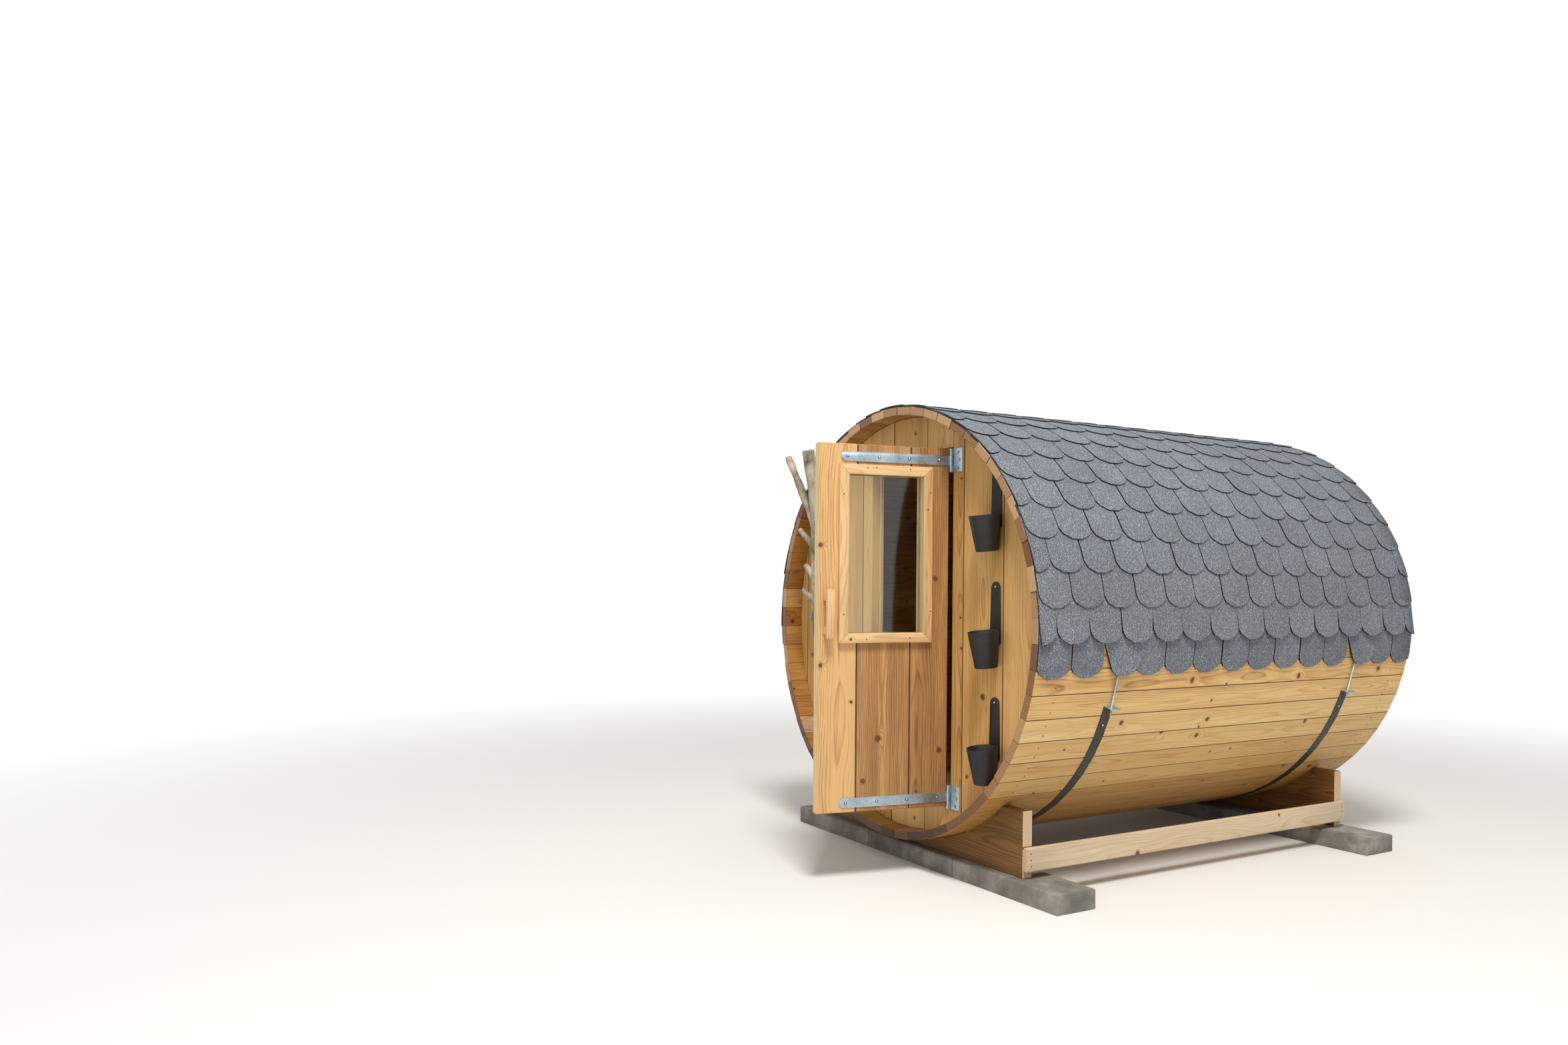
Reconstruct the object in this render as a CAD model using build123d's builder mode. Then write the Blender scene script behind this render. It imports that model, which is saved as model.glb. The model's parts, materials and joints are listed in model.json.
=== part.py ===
from build123d import *
import os
from math import atan, cos, degrees, radians, sin, tan

# Barrel-shaped garden hut of wooden staves, in millimetres.
# The origin is on the ground at the middle of the front kerb, +X is to the right
# as one faces the door, +Y runs into the hut and +Z is up.

# Barrel of flat staves: the radius is to the corners where neighbours meet
barrel_radius = 960.0
barrel_length = 2390.0
stave_thickness = 36.0
stave_count = 60
stave_edge = 2.0

# End walls, set back from the ends of the staves
wall_recess = 95.0
wall_thickness = 44.0

# Kerbs and cradles that carry the barrel
kerb_length = 1890.0
kerb_depth = 200.0
kerb_height = 80.0
kerb_setback = 81.5
kerb_shift = 48.0
barrel_clearance = 34.0
cradle_length = 1509.0
cradle_height = 268.0
cradle_thickness = 48.0
front_cradle_inset = 124.5
back_cradle_inset = 217.0
seat_gap = 0.3
rail_height = 95.0
rail_thickness = 21.0
rail_lift = 29.0

# Doorway, a little to the right of the middle, and its stop strips. The sill stands up from
# the lowest stave, and the head room runs from the top of the door to the highest stave.
doorway_width = 611.0
doorway_shift = 26.0
sill_rise = 147.0
head_room = 169.0
door_side_gap = 7.0
door_end_gap = 6.0
stop_width = 40.0
stop_overlap = 12.0
stop_thickness = 18.0
stop_clearance = 6.0

# Floor inside
floor_drop = 12.0
floor_thickness = 28.0
floor_side_gap = 1.0
bearer_thickness = 45.0
bearer_count = 3

# Door leaf with its window, standing open
open_angle = 79.0
window_width = 350.0
window_height = 667.0
window_from_hinge_edge = 121.5
window_from_top = 122.0
trim_overlap = 5.0
trim_width = 41.0
trim_thickness = 20.0
glass_thickness = 14.0
ledge_height = 90.0
ledge_thickness = 20.0
ledge_side_gap = 26.0
handle_width = 33.0
handle_height = 204.0
handle_thickness = 24.0
handle_standoff = 26.0
handle_from_free_edge = 42.0
handle_centre = 50.0

# Strap hinges
top_hinge_inset = 52.0
bottom_hinge_inset = 40.0
strap_length = 500.0
strap_root_height = 42.0
strap_tip_height = 40.0
strap_thickness = 4.0
knuckle_radius = 8.0
knuckle_face_gap = 1.0
pin_radius = 4.0
pin_clearance = 0.4
knuckle_gap = 0.5
plate_width = 66.0
plate_height = 100.0
plate_thickness = 3.0

# Felt roof over the upper part of the barrel
felt_thickness = 12.0
felt_half_angle = 93.0
felt_names = ["roof_felt_right", "roof_felt_top", "roof_felt_left"]
tab_pitch = 170.0
tab_shift = 55.0
tab_slot = 6.0
tab_exposure = 136.0
tab_round = 64.0
tab_head = 22.0
tab_thickness = 6.0
rod_notch_width = 16.0
rod_notch_lead = 4.0

# Steel bands with their tightening rods
band_inset = 430.0
band_width = 40.0
band_thickness = 2.5
band_end_angle = -18.5
lug_height = 40.0
lug_thickness = 5.0
rod_radius = 4.0
rod_sides = 8
rod_length = 150.0
nut_radius = 8.0
nut_height = 7.0

# Wall pots in a column between the doorway and the staves, evenly spaced
pot_from_doorway = 283.5
pot_names = ["bottom", "middle", "top"]
lowest_pot_clearance = 17.0
highest_hanger_clearance = 84.0
pot_top_radius = 64.0
pot_base_radius = 46.0
pot_height = 146.0
pot_wall = 3.0
pot_sides = 32
hanger_width = 26.0
hanger_rise = 96.0
hanger_lap = 60.0
hanger_thickness = 4.0
hanger_slot_length = 30.0
hanger_slot_width = 8.0
pot_sink = 1.5

# Driftwood rack left of the door: places across and up from the barrel's axis
rack_foot = (-714.0, -136.0)
rack_fork = (-622.0, 590.0)
rack_top = (-664.0, 831.0)
rack_limb = (-862.0, 826.0)
rack_foot_radius = 18.0
rack_top_radius = 27.0
rack_crown_radius = 26.0
rack_limb_radius = 15.0
rack_stub_radius = 11.0
rack_taper = 0.7
rack_sides = 9
rack_stubs = [(0.2, 14.0), (0.38, 30.0), (0.56, 44.0), (0.78, 70.0)]
rack_stub_reach = 78.0
rack_stub_forward = 20.0

# Derived places
half_joint = 180.0 / stave_count
stave_angle = 360.0 / stave_count
flat_radius = barrel_radius * cos(radians(half_joint))
inner_flat_radius = flat_radius - stave_thickness
inner_radius = inner_flat_radius / cos(radians(half_joint))
axis_height = kerb_height + barrel_clearance + flat_radius
front_y = -(kerb_setback + kerb_depth / 2)
back_y = front_y + barrel_length
front_wall_y = front_y + wall_recess
back_wall_y = back_y - wall_recess
interior_front_y = front_wall_y + wall_thickness
interior_back_y = back_wall_y - wall_thickness
door_bottom = sill_rise - inner_flat_radius
door_top = inner_flat_radius - head_room
doorway_left = doorway_shift - doorway_width / 2
doorway_right = doorway_shift + doorway_width / 2
doorway_bottom = door_bottom - door_end_gap
doorway_top = door_top + door_end_gap


def seen_from_front(y):
    # Upright plane across the barrel with its origin on the barrel's axis
    return Plane(origin=(0, y, axis_height), x_dir=(1, 0, 0), z_dir=(0, -1, 0))


def write(piece, name):
    piece.part.label = name
    export_step(piece.part, f"parts/{name}.step")


def wedge(start, end, reach):
    # Corners of a triangle or kite between two angles, wide enough to hold a ring
    middle = (start + end) / 2
    far = reach / cos(radians((end - start) / 2)) ** 2
    return [
        (0, 0),
        (reach * cos(radians(start)), reach * sin(radians(start))),
        (far * cos(radians(middle)), far * sin(radians(middle))),
        (reach * cos(radians(end)), reach * sin(radians(end))),
    ]


os.makedirs("parts", exist_ok=True)
ring_reach = 1.2 * barrel_radius

# Staves, each a flat board with eased outer edges. A quarter of the barrel has two nodes,
# with every second stave in each, so that the boards in a node don't touch.
def stave_plane(angle):
    # Upright plane at the front end of a stave, with local y outward
    across = (sin(radians(angle)), 0, -cos(radians(angle)))
    return Plane(origin=(0, front_y, axis_height), x_dir=across, z_dir=(0, -1, 0))


stave_outer_half = flat_radius * tan(radians(half_joint))
stave_inner_half = inner_flat_radius * tan(radians(half_joint))
quarter_names = ["right", "top", "left", "bottom"]
staves_per_quarter = stave_count // len(quarter_names)
for quarter, quarter_name in enumerate(quarter_names):
    first_angle = quarter * 90 - (staves_per_quarter - 1) / 2 * stave_angle
    for offset_index, set_name in enumerate(("odd", "even")):
        with BuildPart() as staves:
            for index in range(offset_index, staves_per_quarter, 2):
                with BuildSketch(stave_plane(first_angle + index * stave_angle)) as stave_end:
                    Polygon(
                        (-stave_inner_half, inner_flat_radius),
                        (stave_inner_half, inner_flat_radius),
                        (stave_outer_half, flat_radius),
                        (-stave_outer_half, flat_radius),
                        align=None,
                    )
                    chamfer(stave_end.vertices().group_by(Axis.Y)[-1], stave_edge)
                extrude(amount=-barrel_length)
        write(staves, f"staves_{quarter_name}_{set_name}")

# Front wall, split beside, over and under the doorway
front_wall_spans = {
    "front_wall_left": (-inner_radius, doorway_left, -inner_radius, inner_radius),
    "front_wall_right": (doorway_right, inner_radius, -inner_radius, inner_radius),
    "front_wall_over_door": (doorway_left, doorway_right, doorway_top, inner_radius),
    "front_wall_under_door": (doorway_left, doorway_right, -inner_radius, doorway_bottom),
}
for name, (left, right, low, high) in front_wall_spans.items():
    with BuildPart() as front_wall:
        with BuildSketch(seen_from_front(front_wall_y)):
            RegularPolygon(inner_radius, stave_count, rotation=half_joint)
            with Locations(((left + right) / 2, (low + high) / 2)):
                Rectangle(right - left, high - low, mode=Mode.INTERSECT)
        extrude(amount=-wall_thickness)
    write(front_wall, name)

# Back wall, closed all over
with BuildPart() as back_wall:
    with BuildSketch(seen_from_front(interior_back_y)):
        RegularPolygon(inner_radius, stave_count, rotation=half_joint)
    extrude(amount=-wall_thickness)
write(back_wall, "back_wall")

# Stop strips round the inside of the doorway, which the closed door meets
stop_outer_width = doorway_width - 2 * stop_overlap + 2 * stop_width
stop_outer_top = doorway_top - stop_overlap + stop_width
with BuildPart() as door_stop:
    with BuildSketch(seen_from_front(interior_front_y)):
        with Locations((doorway_shift, (doorway_bottom + stop_outer_top) / 2)):
            Rectangle(stop_outer_width, stop_outer_top - doorway_bottom)
        with Locations((doorway_shift, (doorway_bottom + doorway_top - stop_overlap) / 2)):
            Rectangle(
                doorway_width - 2 * stop_overlap,
                doorway_top - stop_overlap - doorway_bottom,
                mode=Mode.SUBTRACT,
            )
    extrude(amount=-stop_thickness)
write(door_stop, "door_stop")

# Floor deck on cross bearers that are cut to the curve of the barrel
floor_top = doorway_bottom - floor_drop
floor_underside = floor_top - floor_thickness
interior_length = interior_back_y - interior_front_y
with BuildPart() as floor_deck:
    with BuildSketch(seen_from_front(interior_front_y + floor_side_gap)):
        RegularPolygon(inner_radius, stave_count, rotation=half_joint)
        with Locations((0, (floor_underside + floor_top) / 2)):
            Rectangle(2 * inner_radius, floor_thickness, mode=Mode.INTERSECT)
    extrude(amount=-(interior_length - 2 * floor_side_gap))
write(floor_deck, "floor_deck")

bearer_pitch = (interior_length - 4 * bearer_thickness) / (bearer_count - 1)
with BuildPart() as floor_bearers:
    for index in range(bearer_count):
        bearer_y = interior_front_y + 1.5 * bearer_thickness + index * bearer_pitch
        with BuildSketch(seen_from_front(bearer_y)):
            RegularPolygon(inner_radius, stave_count, rotation=half_joint)
            with Locations((0, (floor_underside - inner_radius) / 2)):
                Rectangle(2 * inner_radius, floor_underside + inner_radius, mode=Mode.INTERSECT)
        extrude(amount=-bearer_thickness)
write(floor_bearers, "floor_bearers")

# Kerbs and cradles at both ends, and the rails that tie the cradles together
cradle_foot = -(flat_radius + barrel_clearance)
cradle_ys = {
    "front": front_y + front_cradle_inset + cradle_thickness / 2,
    "back": back_y - back_cradle_inset - cradle_thickness / 2,
}
kerb_ys = {"front": 0.0, "back": cradle_ys["front"] + cradle_ys["back"]}
for end, kerb_y in kerb_ys.items():
    with BuildPart() as kerb:
        with BuildSketch(Plane.XY):
            with Locations((kerb_shift, kerb_y)):
                Rectangle(kerb_length, kerb_depth)
        extrude(amount=kerb_height)
        chamfer(kerb.edges().filter_by(Axis.X).group_by(Axis.Z)[-1], 6)
    write(kerb, f"{end}_kerb")
    with BuildPart() as cradle:
        with BuildSketch(seen_from_front(cradle_ys[end] - cradle_thickness / 2)):
            with Locations((0, cradle_foot + cradle_height / 2)):
                Rectangle(cradle_length, cradle_height)
            Circle(barrel_radius + seat_gap, mode=Mode.SUBTRACT)
        extrude(amount=-cradle_thickness)
    write(cradle, f"{end}_cradle")

rail_length = cradle_ys["back"] - cradle_ys["front"] + cradle_thickness
rail_centre_z = kerb_height + rail_lift + rail_height / 2
for side, sign in (("left", -1), ("right", 1)):
    with BuildPart() as rail:
        rail_x = sign * (cradle_length + rail_thickness) / 2
        with Locations((rail_x, (cradle_ys["front"] + cradle_ys["back"]) / 2, rail_centre_z)):
            Box(rail_thickness, rail_length, rail_height)
    write(rail, f"{side}_rail")

# Door: its planes turn about the hinge axis, with local x along the leaf and z outward
hinge_x = doorway_right - door_side_gap / 2
hinge_standoff = knuckle_radius + knuckle_face_gap
hinge_y = front_wall_y - hinge_standoff
leaf_right = -door_side_gap / 2
leaf_width = doorway_width - 2 * door_side_gap
leaf_thickness = wall_thickness - stop_clearance
leaf_left = leaf_right - leaf_width
outer_face = -hinge_standoff
inner_face = outer_face - leaf_thickness
out_dir = (sin(radians(open_angle)), -cos(radians(open_angle)), 0)
along_dir = (cos(radians(open_angle)), sin(radians(open_angle)), 0)


def door_plane(depth, height=0):
    # Plane of the open door, at a depth outward from the hinge axis
    origin = (hinge_x, hinge_y, axis_height + height)
    return Plane(origin=origin, x_dir=along_dir, z_dir=out_dir).offset(depth)


window_centre = (
    leaf_right - window_from_hinge_edge - window_width / 2,
    door_top - window_from_top - window_height / 2,
)
leaf_height = door_top - door_bottom
leaf_centre = ((leaf_left + leaf_right) / 2, (door_bottom + door_top) / 2)
with BuildPart() as door_leaf:
    with BuildSketch(door_plane(outer_face)):
        with Locations(leaf_centre):
            Rectangle(leaf_width, leaf_height)
        with Locations(window_centre):
            Rectangle(window_width, window_height, mode=Mode.SUBTRACT)
    extrude(amount=-leaf_thickness)
write(door_leaf, "door_leaf")

sight_width = window_width - 2 * trim_overlap
sight_height = window_height - 2 * trim_overlap
for name, face, side in (("window_trim_outer", outer_face, 1), ("window_trim_inner", inner_face, -1)):
    with BuildPart() as window_trim:
        with BuildSketch(door_plane(face)):
            with Locations(window_centre):
                Rectangle(sight_width + 2 * trim_width, sight_height + 2 * trim_width)
                Rectangle(sight_width, sight_height, mode=Mode.SUBTRACT)
        extrude(amount=side * trim_thickness)
    write(window_trim, name)

with BuildPart() as window_glass:
    with BuildSketch(door_plane(outer_face)):
        with Locations(window_centre):
            Rectangle(window_width, window_height)
    extrude(amount=-glass_thickness)
write(window_glass, "window_glass")

with BuildPart() as door_ledges:
    with BuildSketch(door_plane(inner_face)):
        with Locations((leaf_centre[0], door_bottom + 1.5 * ledge_height)):
            Rectangle(leaf_width - 2 * ledge_side_gap, ledge_height)
        with Locations((leaf_centre[0], window_centre[1] - window_height / 2 - 1.5 * ledge_height)):
            Rectangle(leaf_width - 2 * ledge_side_gap, ledge_height)
    extrude(amount=-ledge_thickness)
write(door_ledges, "door_ledges")

with BuildPart() as door_handle:
    with BuildSketch(door_plane(outer_face)):
        with Locations((leaf_left + handle_from_free_edge, handle_centre)):
            with GridLocations(0, handle_height - 2 * handle_width, 1, 2):
                Rectangle(handle_width, handle_width)
    extrude(amount=handle_standoff)
    with BuildSketch(door_plane(outer_face + handle_standoff)):
        with Locations((leaf_left + handle_from_free_edge, handle_centre)):
            Rectangle(handle_width, handle_height)
    extrude(amount=handle_thickness)
write(door_handle, "door_handle")

# Strap hinges: the strap turns with the door, the plate with its pin stays on the wall
knuckle_length = (plate_height - strap_root_height) / 2 - knuckle_gap
tip_start = -strap_length + strap_tip_height / 2
hinge_centres = {"top": door_top - top_hinge_inset, "bottom": door_bottom + bottom_hinge_inset}
for end, centre in hinge_centres.items():
    hinge_plane = Plane(origin=(hinge_x, hinge_y, axis_height + centre))
    with BuildPart() as strap:
        with BuildSketch(door_plane(outer_face, centre)):
            with BuildLine():
                Line((0, -strap_root_height / 2), (tip_start, -strap_tip_height / 2))
                ThreePointArc(
                    (tip_start, -strap_tip_height / 2),
                    (-strap_length, 0),
                    (tip_start, strap_tip_height / 2),
                )
                Line((tip_start, strap_tip_height / 2), (0, strap_root_height / 2))
                Line((0, strap_root_height / 2), (0, -strap_root_height / 2))
            make_face()
        extrude(amount=strap_thickness)
        with BuildSketch(hinge_plane.offset(-strap_root_height / 2)):
            Circle(knuckle_radius)
        extrude(amount=strap_root_height)
        with BuildSketch(hinge_plane.offset(-strap_root_height / 2)):
            Circle(pin_radius + pin_clearance)
        extrude(amount=strap_root_height, mode=Mode.SUBTRACT)
    write(strap, f"{end}_hinge_strap")
    with BuildPart() as plate:
        with BuildSketch(seen_from_front(front_wall_y)):
            with Locations((hinge_x + plate_width / 2, centre)):
                Rectangle(plate_width, plate_height)
            with Locations((hinge_x, centre)):
                Rectangle(
                    2 * (knuckle_radius + knuckle_gap),
                    strap_root_height + 2 * knuckle_gap,
                    mode=Mode.SUBTRACT,
                )
        extrude(amount=plate_thickness)
        for knuckle_start in (-plate_height / 2, plate_height / 2 - knuckle_length):
            with BuildSketch(hinge_plane.offset(knuckle_start)):
                Circle(knuckle_radius)
            extrude(amount=knuckle_length)
        with BuildSketch(hinge_plane.offset(-plate_height / 2)):
            Circle(pin_radius)
        extrude(amount=plate_height)
    write(plate, f"{end}_hinge_plate")

# Felt roof: a skin over the upper staves, in pieces from the right round to the left
felt_outer_radius = barrel_radius + felt_thickness
felt_angle = 2 * felt_half_angle / len(felt_names)
for index, name in enumerate(felt_names):
    start = 90 - felt_half_angle + index * felt_angle
    with BuildPart() as felt:
        with BuildSketch(seen_from_front(front_y)):
            Circle(felt_outer_radius)
            RegularPolygon(barrel_radius, stave_count, rotation=half_joint, mode=Mode.SUBTRACT)
            Polygon(*wedge(start, start + felt_angle, ring_reach), align=None, mode=Mode.INTERSECT)
        extrude(amount=-barrel_length)
    write(felt, name)

# Lowest course of round-ended tabs on each side, notched where the band rods pass under it
tab_outer_radius = barrel_radius + tab_thickness
tab_angle = degrees(tab_exposure / barrel_radius)
tab_count = int(barrel_length // tab_pitch) + 1
tab_width = tab_pitch - tab_slot
rod_top_angle = band_end_angle + degrees(rod_length / barrel_radius)
tab_low_angle = 90 - felt_half_angle - tab_angle
rod_notch_depth = radians(rod_top_angle - tab_low_angle) * barrel_radius + rod_notch_lead
middle_y = (front_y + back_y) / 2
band_ys = {"front": front_y + band_inset, "back": back_y - band_inset}
with BuildPart() as tabs:
    tab_high = 90 - felt_half_angle
    tab_middle = tab_high - tab_angle / 2
    with BuildSketch(seen_from_front(front_y)):
        RegularPolygon(tab_outer_radius, stave_count, rotation=half_joint)
        RegularPolygon(barrel_radius, stave_count, rotation=half_joint, mode=Mode.SUBTRACT)
        Polygon(*wedge(tab_high - tab_angle, tab_high, ring_reach), align=None, mode=Mode.INTERSECT)
    extrude(amount=-barrel_length)
    tab_plane = Plane(
        origin=(0, middle_y, axis_height),
        x_dir=(0, 1, 0),
        z_dir=(cos(radians(tab_middle)), 0, sin(radians(tab_middle))),
    )
    round_centre = tab_round - tab_exposure / 2
    with BuildSketch(tab_plane):
        with Locations((tab_shift, round_centre)):
            with GridLocations(tab_pitch, 0, tab_count, 1):
                Ellipse(tab_width / 2, tab_round)
        with Locations((tab_shift, round_centre + tab_exposure / 2)):
            with GridLocations(tab_pitch, 0, tab_count, 1):
                Rectangle(tab_width, tab_exposure)
        with Locations((0, tab_exposure / 2)):
            Rectangle(barrel_length, 2 * tab_head)
        for band_y in band_ys.values():
            with Locations((band_y - middle_y, -tab_exposure / 2)):
                Rectangle(rod_notch_width, 2 * rod_notch_depth, mode=Mode.SUBTRACT)
    extrude(amount=2 * barrel_radius, mode=Mode.INTERSECT)
write(tabs, "lowest_tabs_right")
with BuildPart() as tabs_left:
    mirror(tabs.part, about=Plane.YZ)
write(tabs_left, "lowest_tabs_left")

# Steel bands under the barrel, with a lug, a tightening rod and a nut at each end
band_outer_radius = (flat_radius + band_thickness) / cos(radians(half_joint))
rod_angle = band_end_angle + degrees(rod_length / 2 / barrel_radius)
rod_middle_radius = barrel_radius + band_thickness + rod_radius
lug_lead = rod_length / 2 + lug_thickness
lug_foot = rod_middle_radius - ((flat_radius + band_thickness / 2) ** 2 - lug_lead ** 2) ** 0.5
for end, band_y in band_ys.items():
    tangent = (-sin(radians(rod_angle)), 0, cos(radians(rod_angle)))
    rod_origin = (
        rod_middle_radius * cos(radians(rod_angle)),
        band_y,
        axis_height + rod_middle_radius * sin(radians(rod_angle)),
    )
    rod_plane = Plane(origin=rod_origin, x_dir=(0, 1, 0), z_dir=tangent)
    with BuildPart() as band:
        with BuildSketch(seen_from_front(band_y - band_width / 2)):
            RegularPolygon(band_outer_radius, stave_count, rotation=half_joint)
            RegularPolygon(barrel_radius, stave_count, rotation=half_joint, mode=Mode.SUBTRACT)
            Polygon(
                *wedge(180 - band_end_angle, 360 + band_end_angle, ring_reach),
                align=None,
                mode=Mode.INTERSECT,
            )
        extrude(amount=-band_width)
        with BuildSketch(rod_plane.offset(-lug_lead)):
            with Locations((0, lug_foot - lug_height / 2)):
                Rectangle(band_width, lug_height)
        extrude(amount=lug_thickness)
        with BuildSketch(rod_plane.offset(-lug_lead - 2 * nut_height)):
            RegularPolygon(rod_radius, rod_sides)
        extrude(amount=rod_length + lug_thickness + 2 * nut_height)
        with BuildSketch(rod_plane.offset(-lug_lead - nut_height)):
            RegularPolygon(nut_radius, 6)
        extrude(amount=nut_height)
        mirror(about=Plane.YZ)
    write(band, f"{end}_band")

# Tapered wall pots, each on a slotted hanger plate with a round top
pot_y = front_wall_y - hanger_thickness - pot_top_radius + pot_sink
pot_x = doorway_right + pot_from_doorway
pot_slope = degrees(atan((pot_top_radius - pot_base_radius) / pot_height))
lowest_reach = inner_radius - lowest_pot_clearance
highest_reach = inner_radius - highest_hanger_clearance
lowest_rim = pot_height - (lowest_reach ** 2 - (pot_x + pot_base_radius) ** 2) ** 0.5
highest_rim = (highest_reach ** 2 - (pot_x + hanger_width / 2) ** 2) ** 0.5 - hanger_rise
for index, place in enumerate(pot_names):
    rim = lowest_rim + index * (highest_rim - lowest_rim) / (len(pot_names) - 1)
    hanger_top = rim + hanger_rise
    hanger_foot = rim - hanger_lap
    pot_foot = Plane(origin=(pot_x, pot_y, axis_height + rim - pot_height))
    with BuildPart() as pot:
        with BuildSketch(pot_foot):
            RegularPolygon(pot_base_radius, pot_sides)
        extrude(amount=pot_height)
        draft(pot.faces().filter_by(Axis.Z, reverse=True), pot_foot, -pot_slope)
        offset(amount=-pot_wall, openings=pot.faces().sort_by(Axis.Z)[-1])
        with BuildSketch(seen_from_front(front_wall_y)):
            with Locations((pot_x, hanger_top - hanger_width / 2)):
                Circle(hanger_width / 2)
            with Locations((pot_x, (hanger_top - hanger_width / 2 + hanger_foot) / 2)):
                Rectangle(hanger_width, hanger_top - hanger_width / 2 - hanger_foot)
            with Locations((pot_x, hanger_top - hanger_width)):
                Rectangle(hanger_slot_width, hanger_slot_length, mode=Mode.SUBTRACT)
        extrude(amount=hanger_thickness)
    write(pot, f"wall_pot_{place}")

# Driftwood rack: a forked branch with side stubs that leans on the wall and the stave ends
rack_front_y = front_y - rack_top_radius - seat_gap
foot_point = (rack_foot[0], front_wall_y - rack_foot_radius - seat_gap, axis_height + rack_foot[1])
fork_point = (rack_fork[0], rack_front_y, axis_height + rack_fork[1])
top_point = (rack_top[0], rack_front_y, axis_height + rack_top[1])
limb_point = (rack_limb[0], rack_front_y, axis_height + rack_limb[1])
limbs = [
    (foot_point, fork_point, rack_foot_radius, rack_top_radius),
    (fork_point, top_point, rack_top_radius, rack_crown_radius),
    (fork_point, limb_point, rack_limb_radius, rack_limb_radius * rack_taper),
]
for share, rise in rack_stubs:
    root = tuple(low + (high - low) * share for low, high in zip(foot_point, fork_point))
    stub_end = (root[0] - rack_stub_reach, root[1] - rack_stub_forward, root[2] + rise)
    limbs.append((root, stub_end, rack_stub_radius, rack_stub_radius * rack_taper))
with BuildPart() as rack:
    for start, end, start_radius, end_radius in limbs:
        direction = Vector(*end) - Vector(*start)
        with BuildSketch(Plane(origin=start, z_dir=direction)):
            RegularPolygon(start_radius, rack_sides)
        narrowing = degrees(atan((start_radius - end_radius) / direction.length))
        extrude(amount=direction.length, taper=narrowing)
write(rack, "driftwood_rack")
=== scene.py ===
import json
import math
import random

import bpy
from mathutils import Matrix, Vector


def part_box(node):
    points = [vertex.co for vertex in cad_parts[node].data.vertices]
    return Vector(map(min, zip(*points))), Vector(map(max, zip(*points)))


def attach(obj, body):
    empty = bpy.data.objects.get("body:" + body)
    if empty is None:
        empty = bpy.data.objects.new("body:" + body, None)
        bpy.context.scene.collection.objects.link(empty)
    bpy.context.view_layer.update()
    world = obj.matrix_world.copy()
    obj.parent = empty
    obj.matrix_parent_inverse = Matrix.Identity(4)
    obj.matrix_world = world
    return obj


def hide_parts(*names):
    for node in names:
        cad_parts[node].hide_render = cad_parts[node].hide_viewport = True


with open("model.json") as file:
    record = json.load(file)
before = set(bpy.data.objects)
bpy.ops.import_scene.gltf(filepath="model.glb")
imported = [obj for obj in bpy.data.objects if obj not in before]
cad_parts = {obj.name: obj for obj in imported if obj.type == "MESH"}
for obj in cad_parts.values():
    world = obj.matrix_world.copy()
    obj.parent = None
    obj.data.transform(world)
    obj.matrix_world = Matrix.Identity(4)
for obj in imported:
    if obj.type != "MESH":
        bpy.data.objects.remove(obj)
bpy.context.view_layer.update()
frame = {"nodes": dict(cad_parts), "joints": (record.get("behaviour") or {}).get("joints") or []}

# Kerbs: cast concrete edging stones 630 mm long, three end to end under each cradle. They were
# tamped into a mould, so the faces are grey and pitted, and the top front edge is rounded.
chance = random.Random(7)
kerb_joints = [-0.897, -0.267, 0.363, 0.993]
kerb_gap = 0.003
kerb_edge = 0.004
kerb_round = 0.014
right, inward, up = Vector((1, 0, 0)), Vector((0, 1, 0)), Vector((0, 0, 1))


def linear(colour):
    # A colour written as sRGB hex, as the linear values that shaders take
    parts = [int(colour[i:i + 2], 16) / 255 for i in (1, 3, 5)]
    return tuple(p / 12.92 if p <= 0.04045 else ((p + 0.055) / 1.055) ** 2.4 for p in parts) + (1,)


def feed(node, *inputs, **named):
    # Fills a node's inputs, in order or by name with _ for a space. Each takes a value, or a
    # node or an output that it is linked to
    for key, source in [*enumerate(inputs), *named.items()]:
        if isinstance(key, int):
            entry = node.inputs[key]
        else:
            entry = next(s for s in node.inputs if s.enabled and s.name == key.replace("_", " "))
        if isinstance(source, bpy.types.Node):
            source = next(s for s in source.outputs if s.enabled)
        if isinstance(source, bpy.types.NodeSocket):
            node.id_data.links.new(source, entry)
        else:
            entry.default_value = source


def add(tree, kind, *inputs, stops=(), **named):
    # One node. The word after its kind is its operation, the node's own settings have
    # lower-case names, and the rest fills its inputs
    kind, _, operation = kind.partition(" ")
    node = tree.nodes.new("ShaderNode" + kind)
    if operation:
        node.operation = operation
    for key in [key for key in named if key.islower()]:
        setattr(node, key, named.pop(key))
    if stops:
        marks = node.color_ramp.elements
        while len(marks) < len(stops):
            marks.new(0.5)
        for mark, (place, colour) in zip(marks, stops):
            mark.position = place
            mark.color = linear(colour)
    feed(node, *inputs, **named)
    return node


def new_material(name, roughness, metallic=0.0):
    material = bpy.data.materials.new(name)
    material.use_nodes = True
    surface = material.node_tree.nodes["Principled BSDF"]
    feed(surface, Roughness=roughness, Metallic=metallic)
    return material, material.node_tree, surface


def pick(*pieces):
    # Selects these pieces alone, or nothing
    bpy.ops.object.select_all(action="DESELECT")
    for piece in pieces:
        piece.select_set(True)
        bpy.context.view_layer.objects.active = piece


def edit(piece):
    # Opens one piece in edit mode with all of it selected
    pick(piece)
    bpy.ops.object.mode_set(mode="EDIT")
    bpy.ops.mesh.select_all(action="SELECT")


def done():
    bpy.ops.object.mode_set(mode="OBJECT")


def copy_of(node, name):
    # The shape of a CAD node as a clean mesh of its own
    piece = bpy.data.objects.new(name, frame["nodes"][node].data.copy())
    piece.data.materials.clear()
    bpy.context.scene.collection.objects.link(piece)
    edit(piece)
    bpy.ops.mesh.remove_doubles(threshold=0.00002)
    bpy.ops.mesh.dissolve_limited(angle_limit=math.radians(1))
    done()
    return piece


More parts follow.
